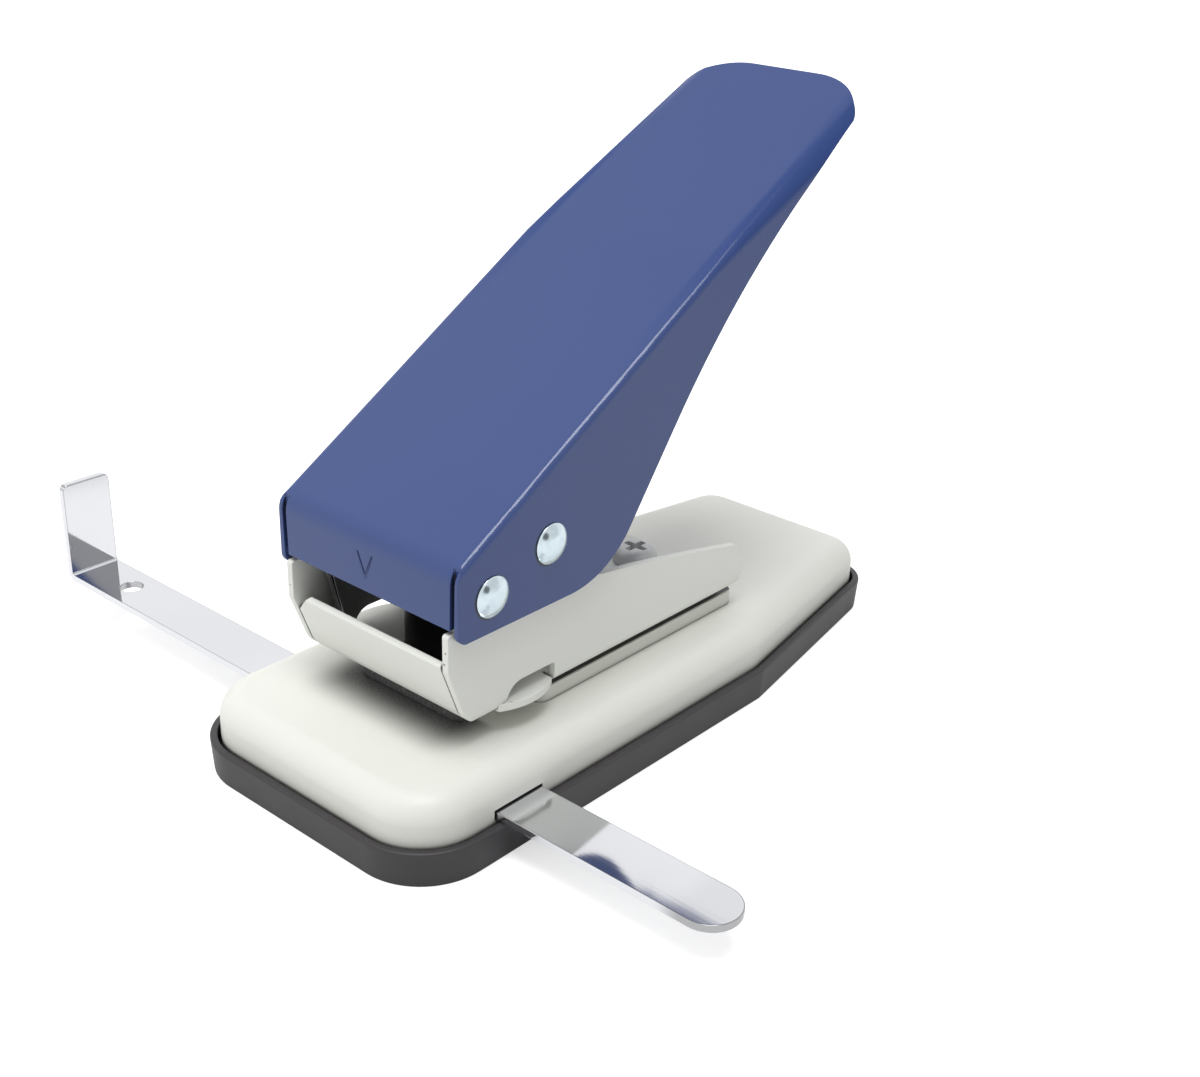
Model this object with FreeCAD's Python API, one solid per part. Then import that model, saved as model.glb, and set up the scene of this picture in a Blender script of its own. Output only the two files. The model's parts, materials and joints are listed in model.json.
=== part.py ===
import FreeCAD, Part
import math
import os

# Thumb notch punch: X lateral, Y from the card side to the back, Z up, table at Z = 0.
# All sizes are millimetres and degrees.

# Clearances
RUN = 0.05          # radial, shaft or punch in its bore
SLIDE = 0.05        # flat faces that slide on each other
SEAT = 0.02         # riveted or bolted pieces in their holes
PLAY = 0.3          # loose openings round the guide bar and the springs
PIN_STOP = 0.15     # drive pin over the frame's shelf at full stroke

# Base outline, seen from above
BASE_HALF_WIDTH = 33.7
BASE_FRONT = -18.5
BASE_SHOULDER = 78.5        # where the sides start to draw in
BASE_BACK = 134.0
BASE_BACK_HALF_WIDTH = 23.8
FRONT_CORNER_R = 14.4
SHOULDER_R = 3.0
BACK_CORNER_R = 9.5

# Base tray
TRAY_FLOOR = 1.6
TRAY_WALL = 1.5
TRAY_HEIGHT = 7.1
TRAY_FOOT_INSET = 0.5            # the tray is this much smaller at the table
TRAY_LIP_R = 0.5

# Base shell
SHELL_INSET = 2.2           # from the tray's outer edge
SHELL_TOP = 15.8
SHELL_SHEET = 1.2
SHELL_EDGE_R = 5.0
SHELL_SHOULDER_R = 12.0
CHIP_HOLE_R = 11.5

# Punch and its die
PUNCH_R = 10.5
PUNCH_Y = 23.6
PUNCH_TOP = 55.7
PUNCH_TIP_LIFT = 0.3        # at rest the tips stay this far above the card slit
PUNCH_HOLLOW = 1.5          # depth of the ground groove across the cutting face
PUNCH_CHAMFER = 0.8
SLOT_LIFT = 0.12            # the pin's arc leaves the straight stroke by less than this

# Die plate
DIE_SHEET = 3.0
DIE_HALF_WIDTH = 20.0
DIE_FRONT = 25.1
DIE_BACK = 85.2
DIE_CORNER_R = 2.5
NOSE_HALF_WIDTH = 14.5
NOSE_FRONT = 9.8
NOSE_CORNER_R = 3.0

# Throat spacer
THROAT = 1.6
SPACER_HALF_WIDTH = 17.0
SPACER_BACK = 83.5
PRONG_WIDTH = 4.5
PRONG_CORNER_R = 1.5

# Frame
FRAME_HALF_WIDTH = 21.6
FRAME_SHEET = 1.5
FRAME_BEND_R = 2.0          # outer radius along the foot
CHEEK_TOP_FRONT = 40.6      # top of the front vertical edge
SLANT_TOP = 33.2            # the front edge is vertical above this
SLANT_RUN = 4.9             # how far the slant goes back on its way to the foot
SLANT_FOOT_R = 5.5
FRAME_BACK = 85.3
BACK_FOOT_R = 3.0
BACK_TOP_Z = 29.95
BACK_TOP_R = 4.8
TOP_BREAK_Y = 57.3          # the top edge bends slightly here
TOP_BREAK_Z = 35.8
TOP_BREAK_R = 80.0
SHELF_END_Y = 30.0          # level shelf that stops the drive pin
EAR_R = 6.4
EAR_ROOT_R = 1.5
EDGE_R = 0.6

WINDOW_FRONT = 14.5
WINDOW_BACK = 27.3
WINDOW_HEIGHT = 4.5
WINDOW_FRONT_R = 4.0
WINDOW_BACK_R = 0.8

TONGUE_FRONT = 12.4
TONGUE_BACK = 26.5
TONGUE_BULGE = 2.0

FLAP_TOP = 34.3
FLAP_GAP_LEFT = 0.4         # from the left cheek's inside to the flap
FLAP_GAP_RIGHT = 0.3
FLAP_CHAMFER = 3.6
FLAP_CORNER_R = 0.6

# Punch guide
GUIDE_Z = 35.0
GUIDE_SHEET = 1.5
GUIDE_FRONT = 11.2
GUIDE_BACK = 36.0
GUIDE_FLANGE = 3.2
GUIDE_CORNER_R = 2.0

# Lever
LEVER_SLOPE = 30.8          # of the top, up to the knee
LEVER_REAR_SLOPE = 28.5
LEVER_LINE_Y = 1.7          # the front stretch of the top passes through here
LEVER_LINE_Z = 53.55
LEVER_KNEE_Y = 69.6
LEVER_KNEE_REACH = 4.0      # the knee is spread over this much either side
LEVER_TAIL_Y = 118.6
LEVER_TAIL_R = 15.5
LEVER_GAP = 0.05            # from the pivot washers to the lever
LEVER_SHEET = 1.2
LEVER_BEND_R = 1.4          # of the top's long edges, up to the knee
LEVER_TAIL_BEND_R = 6.3     # the bend grows to this at the tail
LEVER_FRONT_BEND_R = 5.0
LEVER_FRONT_Y = 0.5
LEVER_FRONT_BOTTOM = 41.5
LEVER_FLANGE_BOTTOM = 39.05
LEVER_FLANGE_R = 2.2
LEVER_BULGE_Y = 39.25
LEVER_BULGE_R = 20.0
LEVER_WAIST_Y = 82.0
LEVER_WAIST_R = 180.0
LEVER_LIP = 2.0             # depth of the flanges along the tail
LEVER_BLOCK_DEPTH = 60.0    # deeper than the flanges
LEVER_BLOCK_LEAD = 20.0     # drawn this far past both ends, then trimmed
SEAM_WIDTH = 0.7
SEAM_LEAN = 0.3             # the seam's upper end is this much nearer the side
SEAM_RELIEF_R = 0.55
SEAM_TOP_Z = 53.0
MARK_DEPTH = 0.12
MARK_WIDTH = 0.3
MARK_HALF_SPREAD = 1.8
MARK_TOP_Z = 49.0
MARK_POINT_Z = 44.2

# Pins
PIN_R = 2.5
HEAD_R = 3.92
HEAD_HEIGHT = 1.7
HEAD_RIM = 0.25
PIVOT_Y = 8.65
PIVOT_Z = 46.0
DRIVE_Y = 23.4
DRIVE_Z = 51.2
PRESS_ANGLE = 30.0
WASHER_SHEET = 0.85
WASHER_R = 5.0

# Return springs
WIRE_R = 0.7
COIL_R = 3.5
COIL_SPACING = 1.95         # along the pin, from turn to turn
COIL_HALF_TURNS = 6
COIL_INSET = 1.65           # of the outer turn's middle from the cheek's inside
LEG_LEAN = 13.6             # the lower leg's lean to the back, from vertical
LEG_HOLE_R = 1.2
UPPER_LEG_SLOPE = 43.5
UPPER_LEG_LENGTH = 19.0

# Spring spacer
SPACER_WALL = 0.45

# Frame screws
SCREW_YS = (47.0, 76.0)
SCREW_R = 2.5
SCREW_HOLE_R = 2.75
SCREW_HEAD_R = 4.75
SCREW_HEAD_HEIGHT = 3.3
SCREW_HEAD_EDGE_R = 2.2
RECESS_WIDTH = 1.5
RECESS_SPAN = 5.4
RECESS_DEPTH = 1.9
SCREW_TAIL = 1.2
FLAT_WASHER_R = 5.0
FLAT_WASHER_SHEET = 1.0
NUT_FLATS = 8.0
NUT_HEIGHT = 4.0

# Guide bar
BAR_SHEET = 1.5
BAR_FRONT = 1.8
BAR_WIDTH = 11.6
BAR_GAP = 0.2               # over the tray's rim
BAR_STOP_X = -101.8         # face of the stop that the card touches
BAR_END_X = 80.3
BAR_STOP_TOP = 30.3
BAR_BEND_R = 2.0
BAR_CORNER_R = 1.5
BAR_HOLE_X = -87.6
BAR_HOLE_R = 2.5

# Straps and leaf under the base shell
STRAP_SHEET = 1.2
STRAP_X = 15.0
STRAP_WIDTH = 9.0
STRAP_FOOT = 5.0
STRAP_CORNER_R = 0.4
LEAF_SHEET = 0.5
LEAF_WIDTH = 6.0
LEAF_HALF_LENGTH = 12.0
LEAF_PAD = 3.0

# Levels that follow from the stack of plates
SHELL_UNDER = SHELL_TOP - SHELL_SHEET
DIE_TOP = SHELL_TOP + DIE_SHEET
WEB_UNDER = DIE_TOP + THROAT
WEB_TOP = WEB_UNDER + FRAME_SHEET
BAR_UNDER = TRAY_HEIGHT + BAR_GAP
BAR_TOP = BAR_UNDER + BAR_SHEET
BAR_MIDDLE_Y = BAR_FRONT + BAR_WIDTH / 2
CHEEK_INNER = FRAME_HALF_WIDTH - FRAME_SHEET
FLAP_LEFT = -(CHEEK_INNER - FLAP_GAP_LEFT)
FLAP_RIGHT = CHEEK_INNER - FLAP_GAP_RIGHT
LEVER_HALF_WIDTH = FRAME_HALF_WIDTH + WASHER_SHEET + LEVER_GAP + LEVER_SHEET
COIL_OUTER_X = CHEEK_INNER - COIL_INSET
COIL_INNER_X = COIL_OUTER_X - COIL_SPACING * COIL_HALF_TURNS / 2


# Travel of the punch: the drive pin turns about the pivot by the press angle
PIN_ARM = math.hypot(DRIVE_Y - PIVOT_Y, DRIVE_Z - PIVOT_Z)
PIN_REST_ANGLE = math.degrees(math.atan2(DRIVE_Z - PIVOT_Z, DRIVE_Y - PIVOT_Y))
PUNCH_STROKE = PIN_ARM * (
    math.sin(math.radians(PIN_REST_ANGLE))
    - math.sin(math.radians(PIN_REST_ANGLE - PRESS_ANGLE))
)
SHELF_Z = DRIVE_Z - PUNCH_STROKE - PIN_R - PIN_STOP

BIG = 400.0                 # longer than the object, for cuts that go right through
OVER = 1.0                  # a cut runs past a face by this


def vec(x, y, z):
    return FreeCAD.Vector(x, y, z)


def block(x0, x1, y0, y1, z0, z1):
    return Part.makeBox(x1 - x0, y1 - y0, z1 - z0, vec(x0, y0, z0))


def rod(x, y, z0, z1, radius):
    """Upright cylinder."""
    return Part.makeCylinder(radius, z1 - z0, vec(x, y, z0), vec(0, 0, 1))


def cross_rod(x0, x1, y, z, radius):
    """Cylinder along X."""
    return Part.makeCylinder(radius, x1 - x0, vec(x0, y, z), vec(1, 0, 0))


def rounded_wire(corners, place):
    """Closed wire through corners (a, b, radius), each rounded by its own radius.

    place(a, b) gives the corner's place in space.
    """
    count = len(corners)
    starts = []
    ends = []
    middles = []
    for i in range(count):
        a, b, radius = corners[i]
        pa, pb, _ = corners[i - 1]
        na, nb, _ = corners[(i + 1) % count]
        to_prev = math.hypot(pa - a, pb - b)
        to_next = math.hypot(na - a, nb - b)
        ua, ub = (pa - a) / to_prev, (pb - b) / to_prev
        va, vb = (na - a) / to_next, (nb - b) / to_next
        half = math.acos(max(-1.0, min(1.0, ua * va + ub * vb))) / 2
        reach = radius / math.tan(half)
        starts.append((a + ua * reach, b + ub * reach))
        ends.append((a + va * reach, b + vb * reach))
        da, db = ua + va, ub + vb
        size = math.hypot(da, db)
        near = radius / math.sin(half) - radius
        middles.append((a + da / size * near, b + db / size * near))
    edges = []
    for i in range(count):
        if corners[i][2] > 0:
            edges.append(Part.Arc(place(*starts[i]), place(*middles[i]), place(*ends[i])).toShape())
        j = (i + 1) % count
        if math.hypot(starts[j][0] - ends[i][0], starts[j][1] - ends[i][1]) > 1e-6:
            edges.append(Part.LineSegment(place(*ends[i]), place(*starts[j])).toShape())
    return Part.Wire(edges)


def plate_xy(corners, z0, z1):
    """Flat plate from a rounded outline seen from above."""
    wire = rounded_wire(corners, lambda x, y: vec(x, y, z0))
    return Part.Face(wire).extrude(vec(0, 0, z1 - z0))


def plate_yz(corners, x0, x1):
    """Plate from a rounded outline seen from the side."""
    wire = rounded_wire(corners, lambda y, z: vec(x0, y, z))
    return Part.Face(wire).extrude(vec(x1 - x0, 0, 0))


def plate_xz(corners, y0, y1):
    """Plate from a rounded outline seen from the front."""
    wire = rounded_wire(corners, lambda x, z: vec(x, y0, z))
    return Part.Face(wire).extrude(vec(0, y1 - y0, 0))


def rectangle(a0, a1, b0, b1, radius):
    return [(a0, b0, radius), (a1, b0, radius), (a1, b1, radius), (a0, b1, radius)]


def mirrored(shape):
    return shape.mirror(vec(0, 0, 0), vec(1, 0, 0))


def edges_where(shape, test):
    return [edge for edge in shape.Edges if test(edge)]


# Base


def base_outline(inset, shoulder_r):
    """Outline of the base, drawn in by inset on every side."""
    run = BASE_BACK - BASE_SHOULDER
    draw_in = BASE_HALF_WIDTH - BASE_BACK_HALF_WIDTH
    length = math.hypot(run, draw_in)
    nx, ny = run / length, draw_in / length
    reach = nx * BASE_HALF_WIDTH + ny * BASE_SHOULDER - inset
    side = BASE_HALF_WIDTH - inset
    back = BASE_BACK - inset
    front = BASE_FRONT + inset
    shoulder = (reach - nx * side) / ny
    back_side = (reach - ny * back) / nx
    right = [
        (side, front, FRONT_CORNER_R - inset),
        (side, shoulder, shoulder_r),
        (back_side, back, BACK_CORNER_R - inset),
    ]
    left = [(-x, y, r) for x, y, r in reversed(right)]
    return right + left


def base_tray():
    foot = rounded_wire(base_outline(TRAY_FOOT_INSET, SHOULDER_R), lambda x, y: vec(x, y, 0))
    rim = rounded_wire(base_outline(0, SHOULDER_R), lambda x, y: vec(x, y, TRAY_HEIGHT))
    body = Part.makeLoft([foot, rim], True, True)
    lip = edges_where(
        body, lambda e: min(v.Z for v in e.Vertexes) > TRAY_HEIGHT - 0.01
    )
    body = body.makeFillet(TRAY_LIP_R, lip)
    hollow = plate_xy(base_outline(TRAY_WALL, SHOULDER_R), TRAY_FLOOR, TRAY_HEIGHT + OVER)
    return body.cut(hollow)


def dome_block(inset, bottom, top, edge_r):
    """Block on the base outline with its upper edge rounded."""
    body = plate_xy(base_outline(inset, SHELL_SHOULDER_R), bottom, top)
    upper = edges_where(body, lambda e: min(v.Z for v in e.Vertexes) > top - 0.01)
    return body.makeFillet(edge_r, upper)


def bar_passage(play):
    """The space of the guide bar's flat run, with play all round."""
    return block(
        -BIG, BIG,
        BAR_FRONT - play, BAR_FRONT + BAR_WIDTH + play,
        BAR_UNDER - play, BAR_TOP + play,
    )


def base_shell():
    outer = dome_block(SHELL_INSET, TRAY_FLOOR, SHELL_TOP, SHELL_EDGE_R)
    inner = dome_block(
        SHELL_INSET + SHELL_SHEET, TRAY_FLOOR - OVER, SHELL_UNDER, SHELL_EDGE_R - SHELL_SHEET
    )
    shell = outer.cut(inner)
    shell = shell.cut(bar_passage(PLAY))
    shell = shell.cut(rod(0, PUNCH_Y, SHELL_UNDER - OVER, SHELL_TOP + OVER, CHIP_HOLE_R))
    for y in SCREW_YS:
        shell = shell.cut(rod(0, y, SHELL_UNDER - OVER, SHELL_TOP + OVER, SCREW_HOLE_R))
    return shell


# Plates between base and frame


def die_plate():
    half = [
        (NOSE_HALF_WIDTH, NOSE_FRONT, NOSE_CORNER_R),
        (NOSE_HALF_WIDTH, DIE_FRONT, EDGE_R),
        (DIE_HALF_WIDTH, DIE_FRONT, DIE_CORNER_R),
        (DIE_HALF_WIDTH, DIE_BACK, DIE_CORNER_R),
    ]
    other = [(-x, y, r) for x, y, r in reversed(half)]
    plate = plate_xy(half + other, SHELL_TOP, DIE_TOP)
    plate = plate.cut(rod(0, PUNCH_Y, SHELL_TOP - OVER, DIE_TOP + OVER, PUNCH_R + RUN))
    for y in SCREW_YS:
        plate = plate.cut(rod(0, y, SHELL_TOP - OVER, DIE_TOP + OVER, SCREW_HOLE_R))
    return plate


def throat_spacer():
    """Fork: its two prongs end at the punch's axis, where they stop the card."""
    prong_inner = SPACER_HALF_WIDTH - PRONG_WIDTH
    crotch = PUNCH_Y + PUNCH_R + 2 * RUN
    half = [
        (prong_inner, crotch, PRONG_CORNER_R),
        (prong_inner, PUNCH_Y, PRONG_CORNER_R),
        (SPACER_HALF_WIDTH, PUNCH_Y, PRONG_CORNER_R),
        (SPACER_HALF_WIDTH, SPACER_BACK, PRONG_CORNER_R),
    ]
    other = [(-x, y, r) for x, y, r in reversed(half)]
    fork = plate_xy(half + other, DIE_TOP, WEB_UNDER)
    for y in SCREW_YS:
        fork = fork.cut(rod(0, y, DIE_TOP - OVER, WEB_UNDER + OVER, SCREW_HOLE_R))
    return fork


# Frame


def cheek_outline():
    ear_front = PIVOT_Y - EAR_R
    ear_back = PIVOT_Y + EAR_R
    ear_top = PIVOT_Z + EAR_R
    return [
        (0, CHEEK_TOP_FRONT, EDGE_R),
        (0, SLANT_TOP, EDGE_R),
        (SLANT_RUN, WEB_UNDER, SLANT_FOOT_R),
        (FRAME_BACK, WEB_UNDER, BACK_FOOT_R),
        (FRAME_BACK, BACK_TOP_Z, BACK_TOP_R),
        (TOP_BREAK_Y, TOP_BREAK_Z, TOP_BREAK_R),
        (SHELF_END_Y, SHELF_Z, EAR_ROOT_R),
        (ear_back, SHELF_Z, EAR_ROOT_R),
        (ear_back, ear_top, EAR_R),
        (ear_front, ear_top, EAR_R),
        (ear_front, CHEEK_TOP_FRONT, EDGE_R),
    ]


def channel_section(y0, y1):
    """U-section with a bend radius along each foot, open at the top."""
    top = PIVOT_Z + 2 * EAR_R
    outer_corners = [
        (-FRAME_HALF_WIDTH, WEB_UNDER, FRAME_BEND_R),
        (FRAME_HALF_WIDTH, WEB_UNDER, FRAME_BEND_R),
        (FRAME_HALF_WIDTH, top, 0),
        (-FRAME_HALF_WIDTH, top, 0),
    ]
    inner_r = FRAME_BEND_R - FRAME_SHEET
    inner_corners = [
        (-CHEEK_INNER, WEB_TOP, inner_r),
        (CHEEK_INNER, WEB_TOP, inner_r),
        (CHEEK_INNER, top + OVER, 0),
        (-CHEEK_INNER, top + OVER, 0),
    ]
    outer = plate_xz(outer_corners, y0, y1)
    return outer.cut(plate_xz(inner_corners, y0 - OVER, y1 + OVER))


def tongues():
    """Stretch of the web that stands out through both windows in a flat arc."""
    half_span = (TONGUE_BACK - TONGUE_FRONT) / 2
    middle = (TONGUE_BACK + TONGUE_FRONT) / 2
    tip = FRAME_HALF_WIDTH + TONGUE_BULGE
    front_right = vec(FRAME_HALF_WIDTH, middle - half_span, WEB_UNDER)
    back_right = vec(FRAME_HALF_WIDTH, middle + half_span, WEB_UNDER)
    front_left = vec(-FRAME_HALF_WIDTH, middle - half_span, WEB_UNDER)
    back_left = vec(-FRAME_HALF_WIDTH, middle + half_span, WEB_UNDER)
    wire = Part.Wire([
        Part.Arc(front_right, vec(tip, middle, WEB_UNDER), back_right).toShape(),
        Part.LineSegment(back_right, back_left).toShape(),
        Part.Arc(back_left, vec(-tip, middle, WEB_UNDER), front_left).toShape(),
        Part.LineSegment(front_left, front_right).toShape(),
    ])
    return Part.Face(wire).extrude(vec(0, 0, FRAME_SHEET))


def slant_y(z):
    """Y of the cheek's slanted front edge at height z."""
    return SLANT_RUN * (SLANT_TOP - z) / (SLANT_TOP - WEB_UNDER)


def flap():
    """Front of the web, folded up on the slant of the cheeks' edges."""
    rise = SLANT_TOP - WEB_UNDER
    length = math.hypot(SLANT_RUN, rise)
    step_y = FRAME_SHEET * rise / length
    step_z = FRAME_SHEET * SLANT_RUN / length
    top_y = slant_y(FLAP_TOP)
    inner_foot_z = WEB_TOP
    inner_foot_y = slant_y(inner_foot_z - step_z) + step_y
    side = plate_yz(
        [
            (top_y, FLAP_TOP, FLAP_CORNER_R),
            (SLANT_RUN, WEB_UNDER, SLANT_FOOT_R),
            (SLANT_RUN + 2 * SLANT_FOOT_R, WEB_UNDER, 0),
            (SLANT_RUN + 2 * SLANT_FOOT_R, inner_foot_z, 0),
            (inner_foot_y, inner_foot_z, SLANT_FOOT_R - FRAME_SHEET),
            (top_y + step_y, FLAP_TOP + step_z, FLAP_CORNER_R),
        ],
        FLAP_LEFT, FLAP_RIGHT,
    )
    front = plate_xz(
        [
            (FLAP_LEFT, WEB_UNDER - OVER, 0),
            (FLAP_RIGHT, WEB_UNDER - OVER, 0),
            (FLAP_RIGHT, FLAP_TOP + OVER, 0),
            (FLAP_LEFT + FLAP_CHAMFER + OVER, FLAP_TOP + OVER, 0),
            (FLAP_LEFT, FLAP_TOP - FLAP_CHAMFER, FLAP_CORNER_R),
        ],
        -BIG, BIG,
    )
    return side.common(front)


def leg_hole_y():
    """Where the springs' lower legs meet the web."""
    return leg_point(WEB_UNDER + FRAME_SHEET / 2).y


def frame():
    outline = plate_yz(cheek_outline(), -BIG, BIG)
    body = channel_section(-OVER, FRAME_BACK + OVER).common(outline)
    window = plate_yz(
        [
            (WINDOW_FRONT, WEB_UNDER, 0),
            (WINDOW_BACK, WEB_UNDER, 0),
            (WINDOW_BACK, WEB_UNDER + WINDOW_HEIGHT, WINDOW_BACK_R),
            (WINDOW_FRONT, WEB_UNDER + WINDOW_HEIGHT, WINDOW_FRONT_R),
        ],
        -BIG, BIG,
    )
    inner_span = block(
        -CHEEK_INNER + FRAME_SHEET, CHEEK_INNER - FRAME_SHEET, -BIG, BIG, -BIG, BIG
    )
    body = body.cut(window.cut(inner_span))
    body = body.fuse([tongues(), flap()]).removeSplitter()
    body = body.cut(rod(0, PUNCH_Y, WEB_UNDER - OVER, WEB_TOP + OVER, PUNCH_R + RUN))
    for y in SCREW_YS:
        body = body.cut(rod(0, y, WEB_UNDER - OVER, WEB_TOP + OVER, SCREW_HOLE_R))
    body = body.cut(cross_rod(-BIG, BIG, PIVOT_Y, PIVOT_Z, PIN_R + RUN))
    for side in (-1, 1):
        hole = rod(side * leg_x(), leg_hole_y(), WEB_UNDER - OVER, WEB_TOP + OVER, LEG_HOLE_R)
        body = body.cut(hole)
    return body


def punch_guide():
    """Bridge between the cheeks, with a short flange up each cheek."""
    top = GUIDE_Z + GUIDE_SHEET + GUIDE_FLANGE
    deck = plate_xy(
        rectangle(-CHEEK_INNER, CHEEK_INNER, GUIDE_FRONT, GUIDE_BACK, 0),
        GUIDE_Z, GUIDE_Z + GUIDE_SHEET,
    )
    flange = plate_yz(
        [
            (GUIDE_FRONT, GUIDE_Z, 0),
            (GUIDE_BACK, GUIDE_Z, 0),
            (GUIDE_BACK, top, GUIDE_CORNER_R),
            (GUIDE_FRONT, top, GUIDE_CORNER_R),
        ],
        CHEEK_INNER - GUIDE_SHEET, CHEEK_INNER,
    )
    bridge = deck.fuse([flange, mirrored(flange)]).removeSplitter()
    return bridge.cut(rod(0, PUNCH_Y, GUIDE_Z - OVER, GUIDE_Z + GUIDE_SHEET + OVER, PUNCH_R + RUN))


# Lever


def front_line_z(y, depth):
    """Height of the front stretch of the lever's top, lowered squarely by depth."""
    slope = math.radians(LEVER_SLOPE)
    return LEVER_LINE_Z + (y - LEVER_LINE_Y) * math.tan(slope) - depth / math.cos(slope)


def rear_line_z(y, depth):
    """Height of the rear stretch of the lever's top, lowered squarely by depth."""
    slope = math.radians(LEVER_REAR_SLOPE)
    knee_z = front_line_z(LEVER_KNEE_Y, 0)
    return knee_z + (y - LEVER_KNEE_Y) * math.tan(slope) - depth / math.cos(slope)


def lever_section(y, slope, radius, inset):
    """Outline across the lever: flat top, both bends, and sides that run down deep."""
    half = LEVER_HALF_WIDTH - inset
    z = min(front_line_z(y, 0), rear_line_z(y, 0))
    lean = math.radians(slope)
    corners = [
        (-half, LEVER_BLOCK_DEPTH, 0),
        (half, LEVER_BLOCK_DEPTH, 0),
        (half, inset, radius - inset),
        (-half, inset, radius - inset),
    ]
    return rounded_wire(
        corners, lambda x, depth: vec(x, y + depth * math.sin(lean), z - depth * math.cos(lean))
    )


def lever_block(inset):
    """Solid under the bent sheet: the bends grow from the knee to the tail."""
    start_y = LEVER_FRONT_Y - LEVER_BLOCK_LEAD
    end_y = LEVER_TAIL_Y + LEVER_BLOCK_LEAD
    bend_y = LEVER_KNEE_Y - LEVER_KNEE_REACH
    straight_y = LEVER_KNEE_Y + LEVER_KNEE_REACH
    step = (LEVER_SLOPE - LEVER_REAR_SLOPE) / 4

    def radius(y):
        share = (y - bend_y) / (LEVER_TAIL_Y - bend_y)
        return LEVER_BEND_R + share * (LEVER_TAIL_BEND_R - LEVER_BEND_R)

    sections = [
        lever_section(start_y, LEVER_SLOPE, LEVER_BEND_R, inset),
        lever_section(bend_y, LEVER_SLOPE - step, LEVER_BEND_R, inset),
        lever_section(straight_y, LEVER_REAR_SLOPE + step, radius(straight_y), inset),
        lever_section(end_y, LEVER_REAR_SLOPE, radius(end_y), inset),
    ]
    return Part.makeLoft(sections, True, True)


def lever_plan():
    """Outline of the lever seen squarely from above the tail, its end corners rounded."""
    length = 2 * LEVER_TAIL_Y
    corners = [
        (-LEVER_HALF_WIDTH, -length, 0),
        (LEVER_HALF_WIDTH, -length, 0),
        (LEVER_HALF_WIDTH, 0, LEVER_TAIL_R),
        (-LEVER_HALF_WIDTH, 0, LEVER_TAIL_R),
    ]
    plan = plate_xy(corners, -LEVER_BLOCK_DEPTH, LEVER_BLOCK_DEPTH)
    plan.Placement = FreeCAD.Placement(
        vec(0, LEVER_TAIL_Y, rear_line_z(LEVER_TAIL_Y, 0)),
        FreeCAD.Rotation(vec(1, 0, 0), LEVER_REAR_SLOPE),
    )
    return plan


def lever_side(inset, open_bottom):
    """Side view of the lever: flange outline, or the hollow above it."""
    tail_y = 2 * LEVER_TAIL_Y
    front = LEVER_FRONT_Y + inset
    corners = [
        (front, front_line_z(front, inset), LEVER_FRONT_BEND_R - inset),
    ]
    if open_bottom:
        corners += [(front, -BIG, 0), (tail_y, -BIG, 0)]
    else:
        corners += [
            (front, LEVER_FLANGE_BOTTOM, LEVER_FLANGE_R),
            (LEVER_BULGE_Y, LEVER_FLANGE_BOTTOM, LEVER_BULGE_R),
            (LEVER_WAIST_Y, rear_line_z(LEVER_WAIST_Y, LEVER_LIP), LEVER_WAIST_R),
            (tail_y, rear_line_z(tail_y, LEVER_LIP), 0),
        ]
    corners.append((tail_y, front_line_z(tail_y, inset), 0))
    return plate_yz(corners, -BIG / 2, BIG / 2)


def lever():
    outer = lever_block(0).common(lever_side(0, False)).common(lever_plan())
    hollow = lever_block(LEVER_SHEET).common(lever_side(LEVER_SHEET, True))
    body = outer.cut(hollow)
    inner_half = LEVER_HALF_WIDTH - LEVER_SHEET
    under_front = block(
        -inner_half, inner_half,
        LEVER_FRONT_Y - OVER, LEVER_FRONT_Y + LEVER_SHEET + SEAM_RELIEF_R,
        0, LEVER_FRONT_BOTTOM,
    )
    body = body.cut(under_front)
    for side in (-1, 1):
        body = body.cut(front_seam(side))
    body = body.cut(centre_mark())
    for y, z in ((PIVOT_Y, PIVOT_Z), (DRIVE_Y, DRIVE_Z)):
        body = body.cut(cross_rod(-BIG / 2, BIG / 2, y, z, PIN_R + SEAT))
    return body


def front_seam(side):
    """Slit between front and side flange, up to a round relief."""
    bottom_x = LEVER_HALF_WIDTH - LEVER_SHEET
    top_x = bottom_x + SEAM_LEAN
    wire = Part.makePolygon([
        vec(side * (bottom_x - SEAM_WIDTH), LEVER_FRONT_Y - OVER, LEVER_FLANGE_BOTTOM - OVER),
        vec(side * bottom_x, LEVER_FRONT_Y - OVER, LEVER_FLANGE_BOTTOM - OVER),
        vec(side * top_x, LEVER_FRONT_Y - OVER, SEAM_TOP_Z),
        vec(side * (top_x - SEAM_WIDTH), LEVER_FRONT_Y - OVER, SEAM_TOP_Z),
        vec(side * (bottom_x - SEAM_WIDTH), LEVER_FRONT_Y - OVER, LEVER_FLANGE_BOTTOM - OVER),
    ])
    slit = Part.Face(wire).extrude(vec(0, OVER + LEVER_SHEET, 0))
    relief = Part.makeCylinder(
        SEAM_RELIEF_R, OVER + LEVER_SHEET,
        vec(side * (top_x - SEAM_WIDTH / 2), LEVER_FRONT_Y - OVER, SEAM_TOP_Z), vec(0, 1, 0),
    )
    return slit.fuse(relief)


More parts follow.
